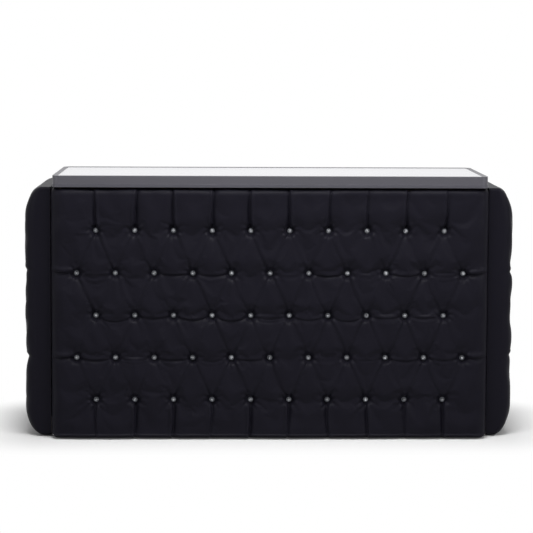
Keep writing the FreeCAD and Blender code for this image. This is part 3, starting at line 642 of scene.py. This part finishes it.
def anodised_trim(colours):
    """Satin anodised aluminium edging: grey, with the bead along its lower edge a little darker than the
    rest, which is painted shade for how the light falls on the bead, and a soft streak along its length from
    the drawing die."""
    material, tree, shader = surface("Grey anodised aluminium")
    bead_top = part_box("counter_edge_trim")[0].z + BEAD_HEIGHT
    height = add_node(tree, "ShaderNodeSeparateXYZ", {"Vector": stretched(tree)}).outputs["Z"]
    # Painted shade: below the bead's top the trim takes the bead's darker colour.
    bead = add_node(tree, "ShaderNodeMath", {0: height, 1: bead_top}, operation="LESS_THAN").outputs[0]
    shade = add_node(tree, "ShaderNodeMix", {"Factor": bead, MIX_FIRST: rgba(colours.trim),
                                             MIX_SECOND: rgba(colours.bead)}, data_type="RGBA")
    streak = add_node(tree, "ShaderNodeTexNoise", {"Vector": stretched(tree, (2, 2, 400)), "Scale": 1.0})
    bump = add_node(tree, "ShaderNodeBump", {"Height": streak.outputs["Fac"], "Distance": 0.0002,
                                             "Strength": 0.25})
    fill(tree, shader, {"Base Color": shade.outputs[MIX_RESULT], "Metallic": 0.35, "Roughness": 0.42,
                        "Specular IOR Level": 0.4, "Normal": bump.outputs["Normal"]})
    return material


def brushed_sheet(name, plain, roughness):
    """Brushed stainless sheet: bright, with fine scratches along the length of the piece. Real
    scratches are under 0.2 mm apart; they are drawn 1.5 mm apart so that they show."""
    material, tree, shader = surface(name)
    scratch = add_node(tree, "ShaderNodeTexNoise", {"Vector": stretched(tree, (6, 660, 660)), "Scale": 1.0})
    bump = add_node(tree, "ShaderNodeBump", {"Height": scratch.outputs["Fac"], "Distance": 0.0002,
                                             "Strength": 0.2})
    fill(tree, shader, {"Base Color": rgba(plain), "Metallic": 1.0, "Roughness": roughness,
                        "Normal": bump.outputs["Normal"]})
    return material


def grained(name, plain, roughness, grain):
    """A surface of one colour with a fine, even grain of the given size."""
    material, tree, shader = surface(name)
    noise = add_node(tree, "ShaderNodeTexNoise", {"Vector": stretched(tree), "Scale": 1 / grain})
    bump = add_node(tree, "ShaderNodeBump", {"Height": noise.outputs["Fac"], "Distance": 0.0002,
                                             "Strength": 0.3})
    fill(tree, shader, {"Base Color": rgba(plain), "Roughness": roughness, "Normal": bump.outputs["Normal"]})
    return material


def powder_coat(colours):
    """Powder-coated tube, baked: black, with a fine orange-peel texture of about 2 mm."""
    return grained("Black powder coat", colours.coat, 0.45, 0.002)


def moulded_plastic(colours):
    """Moulded plastic: matt, with the mould's fine spark-eroded grain."""
    return grained("Moulded black plastic", colours.plastic, 0.5, 0.0012)


def moulded_rubber(colours):
    """Moulded rubber: dull, with a slightly coarser grain from the mould."""
    return grained("Black rubber", colours.rubber, 0.72, 0.002)


def zinc_plate(colours):
    """Bright zinc-plated steel: bluish grey, with a patchy gloss from the bath about 15 mm across."""
    material, tree, shader = surface("Bright zinc plate")
    patch = add_node(tree, "ShaderNodeTexNoise", {"Vector": stretched(tree), "Scale": 1 / 0.015})
    gloss = add_node(tree, "ShaderNodeMapRange", {"Value": patch.outputs["Fac"], "To Min": 0.22,
                                                  "To Max": 0.42})
    fill(tree, shader, {"Base Color": rgba(colours.zinc), "Metallic": 1.0,
                        "Roughness": gloss.outputs["Result"]})
    return material


def birch_plywood(colours):
    """Sanded birch plywood: pale, with a soft grain along the board, streaks about 4 mm wide."""
    material, tree, shader = surface("Birch plywood")
    grain = add_node(tree, "ShaderNodeTexNoise", {"Vector": stretched(tree, (9, 9, 240)), "Scale": 1.0,
                                                  "Detail": 4.0})
    shade = add_node(tree, "ShaderNodeMix", {"Factor": grain.outputs["Fac"],
                                             MIX_FIRST: rgba(colours.plywood, 0.72),
                                             MIX_SECOND: rgba(colours.plywood)}, data_type="RGBA")
    fill(tree, shader, {"Base Color": shade.outputs[MIX_RESULT], "Roughness": 0.62})
    return material


def cut_crystal(colours):
    """Foil-backed cut crystal with painted glints: in its colour, patches of about 5 mm, the size of its
    facets, are painted bright as a reflection or dark as shade by chance, and patches of 80 mm dim the
    painted glints of some crystals more than others."""
    material, tree, shader = surface("Cut crystal")
    facet = add_node(tree, "ShaderNodeTexVoronoi", {"Vector": stretched(tree), "Scale": 1 / 0.005})
    # Painted reflection: the chance of each facet decides how far it is painted bright.
    chance = add_node(tree, "ShaderNodeSeparateColor", {"Color": facet.outputs["Color"]}).outputs["Red"]
    stone = add_node(tree, "ShaderNodeTexVoronoi", {"Vector": stretched(tree), "Scale": 1 / 0.08})
    painted_dulling_chance = add_node(tree, "ShaderNodeSeparateColor", {"Color": stone.outputs["Color"]}).outputs["Green"]
    level = add_node(tree, "ShaderNodeMapRange", {"Value": painted_dulling_chance, "To Min": 0.45, "To Max": 1.0})
    painted_glint = add_node(tree, "ShaderNodeMath", {0: chance, 1: level.outputs["Result"]}, operation="MULTIPLY")
    # Painted highlight and shade: facets run from 0.3 of the crystal's colour, dark, to its full colour,
    # bright.
    shade = add_node(tree, "ShaderNodeMix", {"Factor": painted_glint.outputs[0],
                                             MIX_FIRST: rgba(colours.crystal, 0.3),
                                             MIX_SECOND: rgba(colours.crystal)}, data_type="RGBA")
    fill(tree, shader, {"Base Color": shade.outputs[MIX_RESULT], "Metallic": 0.2, "Roughness": 0.12})
    return material


def chrome_cup(colours):
    """Chrome-plated button cup, painted a dark grey: painted shade of the pit it sits in, which gives a grey
    rim round the crystal.
    """
    material, tree, shader = surface("Satin chrome")
    fill(tree, shader, {"Base Color": rgba(colours.cup), "Metallic": 1.0, "Roughness": 0.35})
    return material


FINISHES = {
    "black_leatherette": leatherette,
    "grey_trim": anodised_trim,
    "deck_sheet": lambda colours: brushed_sheet("Bright brushed sheet", colours.deck, 0.24),
    "shelf_steel": lambda colours: brushed_sheet("Brushed stainless steel", colours.steel, 0.32),
    "frame_coat": powder_coat,
    "zinc_steel": zinc_plate,
    "black_plastic": moulded_plastic,
    "black_rubber": moulded_rubber,
    "panel_plywood": birch_plywood,
    "crystal": cut_crystal,
    "button_chrome": chrome_cup,
}
made_finishes = {}


def finish_of(slot):
    """The material of a slot of the record, made once."""
    if slot not in made_finishes:
        made_finishes[slot] = FINISHES[slot](bpy.context.scene.bar_colours)
    return made_finishes[slot]


# Operators

class BAR_OT_front_pad(bpy.types.Operator):
    """Build the tufted pad on the front"""

    bl_idname = "bar.front_pad"
    bl_label = "Front pad"

    def execute(self, context):
        (left, front, low), (right, back, high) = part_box("front_tufted_pad")
        sizes = context.scene.bar_pads
        plan = PadPlan(half=(right - left) / 2 + sizes.overhang, corner=sizes.front_corner, low=low,
                       high=high, crown=back - front, margin=sizes.front_margin + sizes.overhang,
                       count=sizes.front_count, rims=FRONT_RIMS, side_pleat=sizes.edge_pleat * 0.6,
                       side_steep=0.5, hem=sizes.hem, drawn=99, seed=7)
        add_pad("front_pad", "front_tufted_pad", "front_frame", plan,
                lambda across, up, out: (across, back - out, up), False)
        return {"FINISHED"}


class BAR_OT_wing_pads(bpy.types.Operator):
    """Build the tufted pads on both wings"""

    bl_idname = "bar.wing_pads"
    bl_label = "Wing pads"

    def execute(self, context):
        sizes = context.scene.bar_pads
        for side, sign, drawn in (("left", -1, 75), ("right", 1, 98)):
            node = side + "_wing_tufted_pad"
            (low_x, front, low), (high_x, rear, high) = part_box(node)
            board = high_x if sign < 0 else low_x
            middle = (front + rear) / 2
            plan = PadPlan(half=(rear - front) / 2, corner=sizes.wing_corner, low=low, high=high,
                           crown=high_x - low_x, margin=sizes.wing_margin, count=sizes.wing_count,
                           rims=WING_RIMS, side_pleat=sizes.edge_pleat * 0.45, side_steep=2.6, hem=0.0,
                           drawn=drawn, seed=11 + sign)
            add_pad(side + "_wing_pad", node, side + "_wing", plan,
                    lambda across, up, out: (board + sign * out, middle + across, up), sign < 0)
        return {"FINISHED"}


class BAR_OT_finishes(bpy.types.Operator):
    """Give every CAD node the finish of its slot"""

    bl_idname = "bar.finishes"
    bl_label = "Finishes"

    def execute(self, context):
        for part in frame["record"]["subparts"]:
            mesh = frame["nodes"][part["node"]].data
            mesh.materials.clear()
            mesh.materials.append(finish_of(part["material_slot"]))
        return {"FINISHED"}


class BAR_OT_stage(bpy.types.Operator):
    """Set up the camera, the pale floor and the studio light"""

    bl_idname = "bar.stage"
    bl_label = "Stage"

    def execute(self, context):
        stage = context.scene.bar_stage
        self.add_camera(context, stage)
        self.add_floor(context, stage)
        self.add_room(context, stage)
        for softbox in SOFTBOXES:
            self.add_softbox(context, stage, softbox)
        context.scene.view_settings.view_transform = "Standard"
        return {"FINISHED"}

    def add_camera(self, context, stage):
        """The camera, turned by its pitch, roll and yaw."""
        camera = bpy.data.cameras.new("Camera")
        camera.sensor_width = 36.0
        camera.lens = stage.focal_share * camera.sensor_width
        camera.shift_y = stage.shift
        eye = bpy.data.objects.new("Camera", camera)
        eye.location = stage.camera_place
        eye.rotation_euler = (math.pi / 2 - stage.camera_pitch, -stage.camera_roll, stage.camera_yaw)
        context.collection.objects.link(eye)
        context.scene.camera = eye

    def seen_rays(self, tree):
        """One for camera, glossy and transmission rays, else zero."""
        rays = add_node(tree, "ShaderNodeLightPath", {}).outputs
        direct = add_node(tree, "ShaderNodeMath", {0: rays["Is Camera Ray"], 1: rays["Is Glossy Ray"]},
                          operation="MAXIMUM")
        return add_node(tree, "ShaderNodeMath", {0: direct.outputs[0], 1: rays["Is Transmission Ray"]},
                        operation="MAXIMUM").outputs[0]

    def past_inside(self, tree):
        """How far a point of the floor lies outside the space between the wings, in metres."""
        place = add_node(tree, "ShaderNodeTexCoord", {}).outputs["Object"]
        flat = add_node(tree, "ShaderNodeVectorMath", {0: place}, operation="ABSOLUTE").outputs[0]
        inner = [side - WING_INSET for side in CAD_BOX[1]]
        past = add_node(tree, "ShaderNodeVectorMath", {0: flat, 1: inner}, operation="SUBTRACT").outputs[0]
        outside = add_node(tree, "ShaderNodeVectorMath", {0: past, 1: (0, 0, 0)}, operation="MAXIMUM")
        return add_node(tree, "ShaderNodeVectorMath", {0: outside.outputs[0]},
                        operation="LENGTH").outputs["Value"]

    def add_floor(self, context, stage):
        """A matt floor that keeps the bar's shadow and turns white away from the bar."""
        corners = [(x * FLOOR_REACH, y * FLOOR_REACH, 0) for x, y in ((-1, -1), (1, -1), (1, 1), (-1, 1))]
        mesh = bpy.data.meshes.new("Floor")
        mesh.from_pydata(corners, [], [(0, 1, 2, 3)])
        material = bpy.data.materials.new("Pale floor")
        material.use_nodes = True
        tree = material.node_tree
        tree.nodes.clear()
        matt = add_node(tree, "ShaderNodeBsdfDiffuse", {"Color": rgba(stage.floor_colour)})
        bright = add_node(tree, "ShaderNodeEmission", {"Color": (1, 1, 1, 1), "Strength": 1.0})
        away = add_node(tree, "ShaderNodeMapRange", {"Value": self.past_inside(tree),
                                                     "From Max": stage.floor_fade},
                        interpolation_type="SMOOTHSTEP")
        share = add_node(tree, "ShaderNodeMath", {0: self.seen_rays(tree), 1: away.outputs["Result"]},
                         operation="MULTIPLY")
        mixed = add_node(tree, "ShaderNodeMixShader", {0: share.outputs[0], 1: matt.outputs[0],
                                                       2: bright.outputs[0]})
        add_node(tree, "ShaderNodeOutputMaterial", {"Surface": mixed.outputs[0]})
        mesh.materials.append(material)
        floor = bpy.data.objects.new("Floor", mesh)
        context.collection.objects.link(floor)

    def add_room(self, context, stage):
        """White to the eye and in reflections, and a faint even light on the bar."""
        world = bpy.data.worlds.new("Studio")
        world.use_nodes = True
        context.scene.world = world
        tree = world.node_tree
        strength = add_node(tree, "ShaderNodeMapRange", {"Value": self.seen_rays(tree),
                                                         "To Min": stage.room_light, "To Max": 1.0})
        fill(tree, tree.nodes["Background"], {"Color": (1, 1, 1, 1), "Strength": strength.outputs["Result"]})

    def add_softbox(self, context, stage, softbox):
        """One softbox, turned to the middle of the bar."""
        lamp = bpy.data.lights.new(softbox.name, "AREA")
        lamp.shape = "RECTANGLE"
        lamp.size, lamp.size_y = softbox.size
        lamp.energy = getattr(stage, softbox.power)
        box = bpy.data.objects.new(softbox.name, lamp)
        box.location = softbox.place
        box.rotation_euler = (SOFTBOX_AIM - Vector(softbox.place)).to_track_quat("-Z", "Y").to_euler()
        context.collection.objects.link(box)


class BAR_PT_sidebar(bpy.types.Panel):
    """Pieces, finishes and stage of the bar"""

    bl_idname = "BAR_PT_sidebar"
    bl_label = "Portable bar"
    bl_space_type = "VIEW_3D"
    bl_region_type = "UI"
    bl_category = "Portable bar"

    def draw(self, context):
        for operator in OPERATORS:
            self.layout.operator(operator.bl_idname)
        for group in GROUPS:
            column = self.layout.column()
            values = getattr(context.scene, group)
            for name in values.__annotations__:
                column.prop(values, name)


GROUPS = {"bar_pads": BarPadSizes, "bar_colours": BarColours, "bar_stage": BarStage}
OPERATORS = (BAR_OT_front_pad, BAR_OT_wing_pads, BAR_OT_finishes, BAR_OT_stage)
CLASSES = (*GROUPS.values(), *OPERATORS, BAR_PT_sidebar)


def register():
    for kind in CLASSES:
        bpy.utils.register_class(kind)
    for group, kind in GROUPS.items():
        setattr(bpy.types.Scene, group, PointerProperty(type=kind))


def unregister():
    for group in GROUPS:
        delattr(bpy.types.Scene, group)
    for kind in reversed(CLASSES):
        bpy.utils.unregister_class(kind)


def main():
    """Builds the pads, the finishes and the stage."""
    register()
    bpy.ops.bar.front_pad()
    bpy.ops.bar.wing_pads()
    bpy.ops.bar.finishes()
    bpy.ops.bar.stage()


if __name__ == "__main__":
    main()
